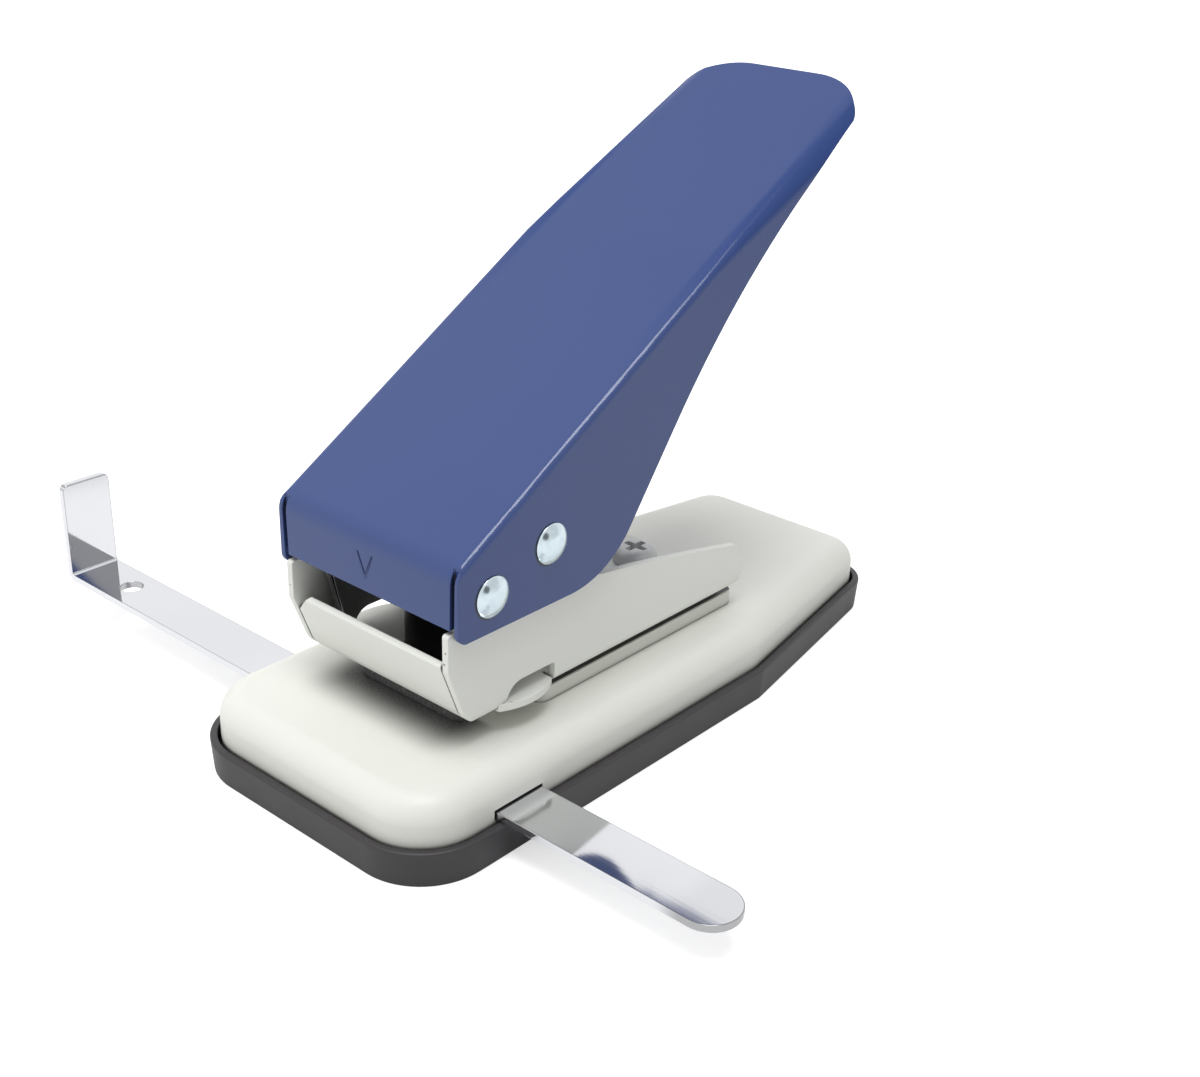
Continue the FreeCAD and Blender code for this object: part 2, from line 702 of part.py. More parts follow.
def centre_mark():
    """Shallow V that points down at the middle of the notch."""
    outer = MARK_HALF_SPREAD + MARK_WIDTH
    foot = MARK_WIDTH / 2
    crotch_z = MARK_POINT_Z + MARK_WIDTH * (MARK_TOP_Z - MARK_POINT_Z) / MARK_HALF_SPREAD
    corners = [
        (-outer, MARK_TOP_Z, 0),
        (-foot, MARK_POINT_Z, 0),
        (foot, MARK_POINT_Z, 0),
        (outer, MARK_TOP_Z, 0),
        (MARK_HALF_SPREAD, MARK_TOP_Z, 0),
        (0, crotch_z, 0),
        (-MARK_HALF_SPREAD, MARK_TOP_Z, 0),
    ]
    return plate_xz(corners, LEVER_FRONT_Y - OVER, LEVER_FRONT_Y + MARK_DEPTH)


# Pins


def domed_head(side, x, y, z):
    """Domed head whose flat face is at x, on the side given."""
    radius = (HEAD_R ** 2 + (HEAD_HEIGHT - HEAD_RIM) ** 2) / (2 * (HEAD_HEIGHT - HEAD_RIM))
    crown = HEAD_HEIGHT
    mid_r = HEAD_R / 2
    mid_h = crown - radius + math.sqrt(radius ** 2 - mid_r ** 2)
    profile = Part.Wire([
        Part.LineSegment(vec(0, y, z), vec(0, y + HEAD_R, z)).toShape(),
        Part.LineSegment(vec(0, y + HEAD_R, z), vec(HEAD_RIM, y + HEAD_R, z)).toShape(),
        Part.Arc(
            vec(HEAD_RIM, y + HEAD_R, z), vec(mid_h, y + mid_r, z), vec(crown, y, z)
        ).toShape(),
        Part.LineSegment(vec(crown, y, z), vec(0, y, z)).toShape(),
    ])
    head = Part.Face(profile).revolve(vec(0, y, z), vec(1, 0, 0), 360)
    if side < 0:
        head = mirrored(head)
    head.translate(vec(side * x, 0, 0))
    return head


def headed_pin(y, z):
    """Shank through both flanges with a domed head at each end."""
    seat = LEVER_HALF_WIDTH
    shank = cross_rod(-seat, seat, y, z, PIN_R)
    return shank.fuse([domed_head(1, seat, y, z), domed_head(-1, seat, y, z)]).removeSplitter()


def pivot_washers():
    washer = cross_rod(
        FRAME_HALF_WIDTH, FRAME_HALF_WIDTH + WASHER_SHEET, PIVOT_Y, PIVOT_Z, WASHER_R
    )
    washer = washer.cut(cross_rod(0, BIG, PIVOT_Y, PIVOT_Z, PIN_R + RUN))
    return Part.makeCompound([washer, mirrored(washer)])


def spring_spacer():
    half = COIL_INNER_X - WIRE_R - PLAY
    bore = PIN_R + RUN
    tube = cross_rod(-half, half, PIVOT_Y, PIVOT_Z, bore + SPACER_WALL)
    return tube.cut(cross_rod(-BIG, BIG, PIVOT_Y, PIVOT_Z, bore))


# Punch


def punch():
    tip = WEB_UNDER + PUNCH_TIP_LIFT
    body = rod(0, PUNCH_Y, tip, PUNCH_TOP, PUNCH_R)
    upper = edges_where(
        body, lambda e: e.Closed and min(v.Z for v in e.Vertexes) > PUNCH_TOP - 0.01
    )
    body = body.makeChamfer(PUNCH_CHAMFER, upper)
    groove = plate_xz(
        [
            (-PUNCH_R - OVER, tip - OVER, 0),
            (PUNCH_R + OVER, tip - OVER, 0),
            (0, tip + PUNCH_HOLLOW, 2 * PUNCH_R),
        ],
        -BIG, BIG,
    )
    body = body.cut(groove)
    pin_far = PIVOT_Y + PIN_ARM
    slot_low = DRIVE_Y - PIN_R - RUN
    slot_high = pin_far + PIN_R + RUN
    lift = SLOT_LIFT + PIN_R
    slot = plate_yz(
        rectangle(slot_low, slot_high, DRIVE_Z - lift, DRIVE_Z + lift, PIN_R),
        -BIG, BIG,
    )
    return body.cut(slot)


# Return springs


def leg_direction():
    lean = math.radians(LEG_LEAN)
    return vec(0, math.sin(lean), -math.cos(lean))


def leg_start_angle():
    """Angle on the coil, seen along X, where the lower leg leaves it in front."""
    return 180.0 + LEG_LEAN


def coil_point(angle, x):
    a = math.radians(angle)
    return vec(x, PIVOT_Y + COIL_R * math.cos(a), PIVOT_Z + COIL_R * math.sin(a))


def leg_x():
    """X of the lower leg, on the coil's outer end beside the cheek."""
    return COIL_OUTER_X


def leg_point(z):
    start = coil_point(leg_start_angle(), leg_x())
    reach = (start.z - z) / math.cos(math.radians(LEG_LEAN))
    return start + leg_direction() * reach


def biarc(p0, t0, p1, t1):
    """Two arcs that leave p0 along t0 and reach p1 along t1."""
    chord = p1 - p0
    total = t0 + t1
    bend = 1 - t0.dot(t1)
    along = chord.dot(total)
    reach = (-along + math.sqrt(along ** 2 + 2 * bend * chord.dot(chord))) / (2 * bend)
    joint = (p0 + p1 + (t0 - t1) * reach) * 0.5
    return [arc_from(p0, t0, joint), arc_from(p1, -t1, joint)]


def arc_from(start, tangent, end):
    """Arc from start along tangent to end."""
    chord = end - start
    inward = chord - tangent * chord.dot(tangent)
    inward.normalize()
    radius = chord.dot(chord) / (2 * chord.dot(inward))
    centre = start + inward * radius
    halfway = (start - centre) + (end - centre)
    halfway.normalize()
    return Part.Arc(start, centre + halfway * radius, end).toShape()


def coil_tangent(angle, climb):
    a = math.radians(angle)
    t = vec(climb, -math.sin(a), math.cos(a))
    t.normalize()
    return t


def return_spring(side):
    """Torsion spring: lower leg into the web, coil on the pivot pin, upper leg under the lever.

    The wire runs from the inner end of the coil, beside the spacer, out to the cheek.
    """
    first = 90.0 + UPPER_LEG_SLOPE
    last = leg_start_angle()
    turn = (last - first) % 180.0 + 180.0 * COIL_HALF_TURNS
    quarters = 2 * COIL_HALF_TURNS + 1
    angle_step = turn / quarters
    climb = COIL_SPACING / 360.0 * angle_step
    rise = COIL_SPACING / (2 * math.pi * COIL_R)
    points = []
    tangents = []
    x_start = leg_x() - climb * quarters
    for i in range(quarters + 1):
        angle = first + angle_step * i
        flat = i in (0, quarters)
        points.append(coil_point(angle, x_start + climb * i))
        tangents.append(coil_tangent(angle, 0.0 if flat else rise))
    upper_end = points[0] - tangents[0] * UPPER_LEG_LENGTH
    lower_end = leg_point(WEB_UNDER + FRAME_SHEET / 4)
    edges = [Part.LineSegment(upper_end, points[0]).toShape()]
    for i in range(quarters):
        edges += biarc(points[i], tangents[i], points[i + 1], tangents[i + 1])
    edges.append(Part.LineSegment(points[-1], lower_end).toShape())
    path = Part.Wire(Part.__sortEdges__(edges))
    direction = points[0] - upper_end
    section = Part.Wire([Part.makeCircle(WIRE_R, upper_end, direction)])
    wire = path.makePipeShell([section], True, False)
    if side > 0:
        report_gap(path)
        return wire
    return mirrored(wire)


def report_gap(path):
    """Print the least gap between stretches of the coil more than a half turn apart."""
    points = path.discretize(Distance=WIRE_R / 2)
    apart = int(math.pi * COIL_R / (WIRE_R / 2))
    least = min(
        points[i].distanceToPoint(points[j])
        for i in range(len(points))
        for j in range(i + apart, len(points))
    )
    print("least gap of the spring to itself: %.2f" % (least - 2 * WIRE_R))


# Screws


def frame_screw(y):
    top = WEB_TOP + SCREW_HEAD_HEIGHT
    head = rod(0, y, WEB_TOP, top, SCREW_HEAD_R)
    upper = edges_where(head, lambda e: min(v.Z for v in e.Vertexes) > top - 0.01 and e.Closed)
    head = head.makeFillet(SCREW_HEAD_EDGE_R, upper)
    half_span = RECESS_SPAN / 2
    half_width = RECESS_WIDTH / 2
    floor = top - RECESS_DEPTH
    head = head.cut(block(-half_span, half_span, y - half_width, y + half_width, floor, top + OVER))
    head = head.cut(block(-half_width, half_width, y - half_span, y + half_span, floor, top + OVER))
    shank = rod(0, y, nut_bottom() - SCREW_TAIL, WEB_TOP, SCREW_R)
    return head.fuse(shank).removeSplitter()


def nut_bottom():
    return SHELL_UNDER - FLAT_WASHER_SHEET - NUT_HEIGHT


def flat_washer(y):
    ring = rod(0, y, SHELL_UNDER - FLAT_WASHER_SHEET, SHELL_UNDER, FLAT_WASHER_R)
    return ring.cut(rod(0, y, 0, SHELL_TOP, SCREW_R + SEAT))


def nut(y):
    across = NUT_FLATS / math.sqrt(3)
    corners = []
    for i in range(6):
        a = math.radians(60 * i)
        corners.append((across * math.cos(a), y + across * math.sin(a), 0))
    body = plate_xy(corners, nut_bottom(), nut_bottom() + NUT_HEIGHT)
    return body.cut(rod(0, y, 0, SHELL_TOP, SCREW_R + SEAT))


def at_each_screw(make):
    return Part.makeCompound([make(y) for y in SCREW_YS])


# Guide bar


def guide_bar():
    outside = BAR_STOP_X - BAR_SHEET
    inner_r = BAR_BEND_R - BAR_SHEET
    back = BAR_FRONT + BAR_WIDTH
    section = plate_xz(
        [
            (outside, BAR_UNDER, BAR_BEND_R),
            (BAR_END_X, BAR_UNDER, 0),
            (BAR_END_X, BAR_TOP, 0),
            (BAR_STOP_X, BAR_TOP, inner_r),
            (BAR_STOP_X, BAR_STOP_TOP, 0),
            (outside, BAR_STOP_TOP, 0),
        ],
        BAR_FRONT, back,
    )
    end_r = BAR_WIDTH / 2
    plan = plate_xy(
        [
            (outside - OVER, BAR_FRONT, 0),
            (BAR_END_X, BAR_FRONT, end_r),
            (BAR_END_X, back, end_r),
            (outside - OVER, back, 0),
        ],
        0, BIG,
    )
    face = plate_yz(
        [
            (BAR_FRONT, 0, 0),
            (back, 0, 0),
            (back, BAR_STOP_TOP, BAR_CORNER_R),
            (BAR_FRONT, BAR_STOP_TOP, BAR_CORNER_R),
        ],
        -BIG, BIG,
    )
    bar = section.common(plan).common(face)
    return bar.cut(rod(BAR_HOLE_X, BAR_MIDDLE_Y, 0, BAR_TOP + OVER, BAR_HOLE_R))


def bar_strap(side):
    """Hat-section strap: its floor carries the bar, its feet are welded to the shell."""
    floor = BAR_UNDER - SLIDE
    inner_front = BAR_FRONT - SLIDE
    inner_back = BAR_FRONT + BAR_WIDTH + SLIDE
    outer_front = inner_front - STRAP_SHEET
    outer_back = inner_back + STRAP_SHEET
    foot_under = SHELL_UNDER - STRAP_SHEET
    r = STRAP_CORNER_R
    corners = [
        (outer_front - STRAP_FOOT, SHELL_UNDER, 0),
        (outer_front - STRAP_FOOT, foot_under, 0),
        (outer_front, foot_under, r),
        (outer_front, floor - STRAP_SHEET, r),
        (outer_back, floor - STRAP_SHEET, r),
        (outer_back, foot_under, r),
        (outer_back + STRAP_FOOT, foot_under, 0),
        (outer_back + STRAP_FOOT, SHELL_UNDER, 0),
        (inner_back, SHELL_UNDER, r),
        (inner_back, floor, 0),
        (inner_front, floor, 0),
        (inner_front, SHELL_UNDER, r),
    ]
    strap = plate_yz(corners, STRAP_X, STRAP_X + STRAP_WIDTH)
    return strap if side > 0 else mirrored(strap)


def bar_leaf_spring():
    """Bowed strip: its middle is welded to the shell, its tips press on the bar."""
    high = SHELL_UNDER
    low = BAR_TOP + SLIDE + LEAF_SHEET
    knee = LEAF_HALF_LENGTH - LEAF_PAD
    over = LEAF_SHEET
    corners = [
        (-LEAF_HALF_LENGTH, low, 0),
        (-LEAF_HALF_LENGTH, low - over, 0),
        (-knee, low - over, 4 * LEAF_SHEET),
        (-LEAF_PAD, high - over, 6 * LEAF_SHEET),
        (LEAF_PAD, high - over, 6 * LEAF_SHEET),
        (knee, low - over, 4 * LEAF_SHEET),
        (LEAF_HALF_LENGTH, low - over, 0),
        (LEAF_HALF_LENGTH, low, 0),
        (knee, low, 5 * LEAF_SHEET),
        (LEAF_PAD, high, 5 * LEAF_SHEET),
        (-LEAF_PAD, high, 5 * LEAF_SHEET),
        (-knee, low, 5 * LEAF_SHEET),
    ]
    half = LEAF_WIDTH / 2
    return plate_xz(corners, BAR_MIDDLE_Y - half, BAR_MIDDLE_Y + half)


PIECES = {
    "base_tray": base_tray,
    "base_shell": base_shell,
    "die_plate": die_plate,
    "throat_spacer": throat_spacer,
    "frame": frame,
    "punch_guide": punch_guide,
    "frame_screws": lambda: at_each_screw(frame_screw),
    "frame_washers": lambda: at_each_screw(flat_washer),
    "frame_nuts": lambda: at_each_screw(nut),
    "lever": lever,
    "pivot_pin": lambda: headed_pin(PIVOT_Y, PIVOT_Z),
    "drive_pin": lambda: headed_pin(DRIVE_Y, DRIVE_Z),
    "pivot_washers": pivot_washers,
    "spring_spacer": spring_spacer,
    "return_spring_left": lambda: return_spring(-1),
    "return_spring_right": lambda: return_spring(1),
    "punch": punch,
    "guide_bar": guide_bar,
    "bar_strap_left": lambda: bar_strap(-1),
    "bar_strap_right": lambda: bar_strap(1),
    "bar_leaf_spring": bar_leaf_spring,
}


def main():
    os.makedirs("parts", exist_ok=True)
    print("punch stroke %.3f, per radian %.4f" % (
        PUNCH_STROKE, PUNCH_STROKE / math.radians(PRESS_ANGLE)))
    print("shelf %.2f" % SHELF_Z)
    for name, make in PIECES.items():
        shape = make()
        if not shape.isValid():
            print("not valid:", name)
        print(name, len(shape.Solids), round(shape.Volume, 1))
        shape.exportStep("parts/%s.step" % name)


main()
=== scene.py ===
"""Thumb notch punch: bright sheet-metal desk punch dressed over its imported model."""
import bpy
import bmesh
import json
import math
from mathutils import Matrix, Vector
from mathutils.bvhtree import BVHTree

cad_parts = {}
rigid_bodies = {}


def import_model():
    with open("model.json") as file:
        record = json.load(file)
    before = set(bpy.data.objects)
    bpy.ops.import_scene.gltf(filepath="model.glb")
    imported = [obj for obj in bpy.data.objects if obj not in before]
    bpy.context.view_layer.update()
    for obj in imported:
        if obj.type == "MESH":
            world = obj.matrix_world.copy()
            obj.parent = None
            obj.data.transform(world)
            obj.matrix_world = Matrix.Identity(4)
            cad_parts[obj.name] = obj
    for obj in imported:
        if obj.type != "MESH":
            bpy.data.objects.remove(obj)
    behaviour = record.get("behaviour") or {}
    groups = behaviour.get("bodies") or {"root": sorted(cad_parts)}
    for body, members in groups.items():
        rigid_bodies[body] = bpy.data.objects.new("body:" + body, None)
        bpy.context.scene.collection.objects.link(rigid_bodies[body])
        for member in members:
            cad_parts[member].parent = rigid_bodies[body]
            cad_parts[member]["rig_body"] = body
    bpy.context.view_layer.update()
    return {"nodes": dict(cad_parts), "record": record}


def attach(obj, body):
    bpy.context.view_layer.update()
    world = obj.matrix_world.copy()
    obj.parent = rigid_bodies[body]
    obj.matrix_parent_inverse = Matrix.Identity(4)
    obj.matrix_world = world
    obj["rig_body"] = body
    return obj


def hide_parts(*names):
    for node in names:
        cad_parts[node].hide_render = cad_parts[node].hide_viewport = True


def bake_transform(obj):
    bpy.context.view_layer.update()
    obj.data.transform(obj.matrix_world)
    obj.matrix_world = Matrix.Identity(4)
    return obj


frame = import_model()
nodes = frame["nodes"]

MM = 0.001
MM2 = MM ** 2     # a square millimetre

# Places on the model that finishes and pieces refer to, in metres

PIVOT_Y = 8.65 * MM
PIVOT_Z = 46.0 * MM
DRIVE_Y = 23.4 * MM
DRIVE_Z = 51.2 * MM
PIN_HEAD_R = 3.92 * MM
LOWER_LEG_X = 17.75 * MM     # the coil's end beside the cheek stays with the lower leg
UPPER_LEG_X = 12.97 * MM     # its inner end turns with the upper leg
CHEEK_INSIDE_X = 20.1 * MM
WEB_TOP_Z = 21.9 * MM
DIE_TOP_Z = 18.8 * MM
DIE_HALF_WIDTH = 20.0 * MM
LEVER_HALF_WIDTH = 23.7 * MM
LEVER_FRONT_Y = 0.5 * MM
BAR_MIDDLE_Y = 7.6 * MM
BAR_HALF_WIDTH = 5.8 * MM
BAR_END_X = 80.3 * MM
BAR_STOP_TOP_Z = 30.3 * MM
BAR_HOLE_X = -87.6 * MM
BAR_HOLE_R = 2.5 * MM
CHIPS = (                    # middles of the paint chips
    (-20.9 * MM, -0.3 * MM, 35.7 * MM),
    (20.9 * MM, -0.3 * MM, 37.2 * MM),
    (20.6 * MM, -0.3 * MM, 34.9 * MM),
)


# Shader maths

class Wire:
    """An output socket that takes part in arithmetic."""

    def __init__(self, tree, socket):
        self.tree = tree
        self.socket = socket

    def _math(self, operation, *values):
        return self.tree.node("ShaderNodeMath", {"operation": operation}, *values)

    def __add__(self, other):
        return self._math("ADD", self, other)

    __radd__ = __add__

    def __sub__(self, other):
        return self._math("SUBTRACT", self, other)

    def __rsub__(self, other):
        return self._math("SUBTRACT", other, self)

    def __mul__(self, other):
        return self._math("MULTIPLY", self, other)

    __rmul__ = __mul__

    def clamp(self):
        return self.tree.node("ShaderNodeClamp", {}, self, 0.0, 1.0)

    def above(self, edge, soft):
        """0 below edge - soft, 1 above edge + soft."""
        low, high = edge - soft, edge + soft
        smooth = {"interpolation_type": "SMOOTHSTEP"}
        return self.tree.node("ShaderNodeMapRange", smooth, self, low, high, 0.0, 1.0)

    def below(self, edge, soft):
        """1 below edge - soft, 0 above edge + soft."""
        return 1.0 - self.above(edge, soft)

    def beyond(self, reach, soft):
        """For a squared distance: 1 past reach, 0 nearer; soft is an area."""
        return self.above(reach ** 2, soft)

    def within(self, reach, soft):
        """For a squared distance: 1 nearer than reach, 0 past it; soft is an area."""
        return self.below(reach ** 2, soft)


class Tree:
    """The nodes of one material or of the sky."""

    def __init__(self, holder):
        holder.use_nodes = True
        self.nodes = holder.node_tree.nodes
        self.links = holder.node_tree.links

    def node(self, kind, settings, *values, out=0, **named):
        """A node of a kind: its settings first, then its sockets by order or by name."""
        made = self.nodes.new(kind)
        for key, value in settings.items():
            setattr(made, key, value)
        usable = [socket for socket in made.inputs if socket.enabled]
        for socket, value in zip(usable, values):
            self.feed(socket, value)
        for key, value in named.items():
            match = [socket for socket in usable if socket.name == key.replace("_", " ")]
            self.feed(match[0], value)
        outputs = [socket for socket in made.outputs if socket.enabled]
        return Wire(self, outputs[out])

    def feed(self, socket, value):
        if isinstance(value, Wire):
            self.links.new(value.socket, socket)
        else:
            socket.default_value = value

    def vector(self, operation, a, b):
        return self.node("ShaderNodeVectorMath", {"operation": operation}, a, b)

    def ray(self, *names):
        """The largest of the named facts about a ray: 1 if it is of a named kind, 0 if not."""
        path = self.nodes.new("ShaderNodeLightPath")
        kinds = [Wire(self, path.outputs[name]) for name in names]
        found = kinds[0]
        for kind in kinds[1:]:
            found = self.node("ShaderNodeMath", {"operation": "MAXIMUM"}, found, kind)
        return found


class Finish(Tree):
    """A material for a surface."""

    def __init__(self, name):
        self.material = bpy.data.materials.new(name)
        super().__init__(self.material)
        self.shader = self.nodes["Principled BSDF"]

    def place(self):
        """The place on the object."""
        return self.node("ShaderNodeTexCoord", {}, out=3)

    def xyz(self):
        """The place on the object as three numbers."""
        made = self.nodes.new("ShaderNodeSeparateXYZ")
        self.feed(made.inputs[0], self.place())
        return [Wire(self, socket) for socket in made.outputs]

    def noise(self, scale, detail=2.0, rough=0.5, where=None):
        return self.node(
            "ShaderNodeTexNoise", {}, Vector=where or self.place(),
            Scale=scale, Detail=detail, Roughness=rough)

    def blend(self, factor, a, b):
        """Colour a where factor is 0, colour b where it is 1."""
        made = self.nodes.new("ShaderNodeMix")
        made.data_type = "RGBA"
        self.feed(made.inputs[0], factor)
        self.feed(made.inputs[6], a)
        self.feed(made.inputs[7], b)
        return Wire(self, made.outputs[2])

    def bump(self, height, strength, distance):
        return self.node("ShaderNodeBump", {}, Height=height, Strength=strength, Distance=distance)

    def crevice(self, reach, edge=0.5, soft=0.14):
        """1 in seams and narrow gaps, 0 on open faces."""
        open_sky = self.node("ShaderNodeAmbientOcclusion", {"samples": 8}, Distance=reach, out=1)
        return 1.0 - open_sky.above(edge, soft)

    def edges(self, radius):
        """1 along outer edges, 0 on open faces."""
        soft = self.node("ShaderNodeBevel", {"samples": 6}, Radius=radius)
        plain = self.node("ShaderNodeNewGeometry", {}, out=1)
        same = self.vector("DOT_PRODUCT", soft, plain)
        return (1.0 - same).above(0.12, 0.1)

    def set(self, **values):
        for key, value in values.items():
            self.feed(self.shader.inputs[key.replace("_", " ")], value)
        return self.material


def rgb(red, green, blue):
    return (red, green, blue, 1.0)


# Painted shade, and the frame's paint chips
SHADE_AND_CHIP_DARK = rgb(0.02, 0.021, 0.026)
# Painted shade in seams of painted parts
PAINT_SEAM_SHADE = rgb(0.02, 0.02, 0.022)
# Painted shade in seams of metal parts
METAL_SEAM_SHADE = rgb(0.03, 0.03, 0.03)
# Painted dark reflections and shade along metal edges
METAL_REFLECTION_DARK = rgb(0.36, 0.36, 0.37)


def paint(name, colours, roughness, level, coat, peel_depth, seam_shade_strength, painted_shade_and_marks):
    """Sprayed and baked paint on sheet: orange peel, faint mottling, lighter edges, painted shade
    in seams.

    The colours are the paint's own, its mottling's and that of its edges, which are lighter both
    for
    thinner paint and as a painted edge highlight. The painted_shade_and_marks mask gives dark
    places:
    painted shade, and on the frame paint chips too; the coat is a number or another mask.
    """
    finish = Finish(name)
    colour, mottled, worn_and_lit = colours
    cloud = finish.noise(28.0, 3.0)
    body = finish.blend(cloud.above(0.5, 0.25) * 0.35, colour, mottled)
    # Edges a little lighter: thinner paint and a painted edge highlight
    thin_paint_and_highlight = finish.edges(0.5 * MM) * finish.noise(900.0, 2.0).above(0.42, 0.2)
    body = finish.blend(thin_paint_and_highlight * 0.3, body, worn_and_lit)
    # Painted shade, and on the frame paint chips too
    body = finish.blend(painted_shade_and_marks(finish), body, SHADE_AND_CHIP_DARK)
    peel = finish.noise(1400.0, 1.0) * 0.6 + finish.noise(420.0, 1.0)
    # The base colour gets painted shade in seams and narrow gaps
    return finish.set(
        Base_Color=finish.blend(finish.crevice(1.5 * MM) * seam_shade_strength, body, PAINT_SEAM_SHADE),
        Roughness=roughness + finish.noise(60.0, 3.0) * 0.08,
        Normal=finish.bump(peel, peel_depth, 0.12 * MM),
        Specular_IOR_Level=level,
        Coat_Weight=coat(finish) if callable(coat) else coat,
        Coat_Roughness=0.17,
    )


def joined(marks):
    """Several masks as one."""
    whole = marks[0]
    for mark in marks[1:]:
        whole = whole + mark
    return whole.clamp()


def inner_frame_shade(finish):
    """Painted shade on the faces round the punch, lighter towards the frame's open front."""
    x, y, z = finish.xyz()
    between_cheeks = (x * x).within(CHEEK_INSIDE_X + 0.05 * MM, 4.0 * MM2)
    deep = y.above(6.5 * MM, 4.5 * MM) * y.below(34.0 * MM, 4.0 * MM)
    over_web = z.above(WEB_TOP_Z + 0.5 * MM, 0.6 * MM)
    return between_cheeks * deep * over_web * (0.9 + 0.1 * finish.noise(300.0, 2.0))


def under_flap_shade(finish):
    """Painted shade, speckled, on the base in front of the die, under the frame's flap."""
    x, y, z = finish.xyz()
    near = y.above(3.5 * MM, 6.5 * MM) * y.below(13.5 * MM, 1.0 * MM)
    across = (x * x).within(17.5 * MM, 130.0 * MM2)
    grain = finish.noise(2600.0, 3.0, 0.7).above(0.38, 0.2)
    return near * across * z.above(13.0 * MM, 1.0 * MM) * (0.72 + 0.2 * grain)


def slit_shade(finish):
    """Shade on the die plate's top inside the slit."""
    x, _, z = finish.xyz()
    across = (x * x).within(DIE_HALF_WIDTH - 0.4 * MM, 4.0 * MM2)
    return z.above(DIE_TOP_Z - 0.15 * MM, 0.04 * MM) * across * 0.93


def tail_coat(finish):
    """The lever's clear coat: weaker towards the tail and weakest on its long bends."""
    x, y, _ = finish.xyz()
    outer = (x * x).beyond(LEVER_HALF_WIDTH - 3.4 * MM, 30.0 * MM2)
    bends = outer * (x * x).within(LEVER_HALF_WIDTH - 0.18 * MM, 4.0 * MM2)
    return 1.0 - 0.32 * y.above(70.0 * MM, 50.0 * MM) - 0.5 * bends * y.above(60.0 * MM, 20.0 * MM)


def head_shade(finish):
    """Painted shade: a dark ring in the paint beside each pin's head, on its lower front side."""
    _, y, z = finish.xyz()
    marks = []
    for pin_y, pin_z in ((PIVOT_Y, PIVOT_Z), (DRIVE_Y, DRIVE_Z)):
        across = y - (pin_y - 0.18 * MM)
        up = z - (pin_z - 0.1 * MM)
        marks.append((across * across + up * up).within(PIN_HEAD_R + 0.16 * MM, 0.8 * MM2))
    return joined(marks) * 0.85


def bar_edge_reflection(finish):
    """Painted shade and dark reflections: narrow dark lines along the guide bar's edges and round
    its hole, the free end's edge, and a faint darkening of the free end.
    """
    x, y, z = finish.xyz()
    along = (x - (BAR_END_X - BAR_HALF_WIDTH)).clamp()
    across = y - BAR_MIDDLE_Y
    out = along * along + across * across
    face_edge = BAR_HALF_WIDTH - 0.05 * MM
    line = out.beyond(BAR_HALF_WIDTH - 0.24 * MM, 0.8 * MM2) * out.within(face_edge, 0.4 * MM2)
    near_end = x.above(70.0 * MM, 3.0 * MM)
    end = out.beyond(face_edge, 0.4 * MM2) * near_end
    stop_edge = (
        z.above(BAR_STOP_TOP_Z - 0.45 * MM, 0.06 * MM)
        * z.below(BAR_STOP_TOP_Z - 0.12 * MM, 0.06 * MM))
    from_hole = x - BAR_HOLE_X
    hole = (from_hole * from_hole + across * across).within(BAR_HOLE_R + 0.18 * MM, 0.5 * MM2)
    lines = line * (0.6 + 0.4 * near_end) + stop_edge * 0.8 + hole * 0.7
    return (lines + end * 0.7 + near_end * 0.12).clamp()


def chips(finish):
    """Small paint chips on the front edges of both cheeks."""
    marks = []
    for middle in CHIPS:
        gap = finish.vector("DISTANCE", finish.place(), middle)
        ragged = gap + finish.noise(2500.0, 1.0) * (0.6 * MM)
        marks.append(ragged.below(0.62 * MM, 0.12 * MM))
    return joined(marks)


def metal(name, colour, dark, roughness, grain, scratch, spread=0.08, patch=40.0, metallic=1.0,
          painted_reflection=None):
    """Bare or plated metal with fine lines and painted shade in its seams.

    The scratch is how fine the lines are along X, Y and Z. The painted_reflection is a mask of
    places darkened as painted dark reflections and shade.
    """
    finish = Finish(name)
    stretched = finish.vector("MULTIPLY", finish.place(), scratch)
    lines = finish.noise(1.0, 3.0, 0.6, where=stretched)
    cloud = finish.noise(patch, 4.0)
    body = finish.blend(cloud.above(0.5, 0.15) * 0.6, colour, dark)
    # Painted dark reflections and shade along edges, where a mask is given
    if painted_reflection:
        body = finish.blend(painted_reflection(finish), body, METAL_REFLECTION_DARK)
    # Painted shade in seams and narrow gaps
    seam_shade = finish.crevice(0.8 * MM, 0.42, 0.12)
    return finish.set(
        Base_Color=finish.blend(seam_shade * 0.8, body, METAL_SEAM_SHADE),
        Metallic=metallic,
        Roughness=roughness + (lines - 0.5) * spread + (cloud - 0.5) * spread,
        Normal=finish.bump(lines, grain, 0.05 * MM),
    )


def throat_shade():
    """Steel in the slit, its upper part always in the frame's shade."""
    finish = Finish("throat_steel")
    _, _, z = finish.xyz()
    upper = z.above(DIE_TOP_Z + 1.05 * MM, 0.12 * MM)
    cloud = finish.noise(600.0, 3.0)
    steel = finish.blend(cloud, rgb(0.45, 0.45, 0.43), rgb(0.36, 0.36, 0.35))
    return finish.set(
        Base_Color=finish.blend(upper * 0.97, steel, rgb(0.01, 0.01, 0.012)),
        Metallic=0.4 - 0.4 * upper,
        Roughness=0.5 + 0.1 * cloud,
    )


def moulded_black():
    """Matte moulded plastic, a little lighter in patches along its edges: rubbing and a painted
    edge highlight.
    """
    finish = Finish("moulded_black")
    grain = finish.noise(1800.0, 2.0)
    rub_and_highlight = finish.edges(0.6 * MM) * finish.noise(300.0, 3.0).above(0.45, 0.2)
    return finish.set(
        Base_Color=finish.blend(rub_and_highlight * 0.5, rgb(0.030, 0.027, 0.030), rgb(0.09, 0.085, 0.09)),
        Roughness=0.42 + finish.noise(90.0, 3.0) * 0.12,
        Normal=finish.bump(grain, 0.12, 0.08 * MM),
    )


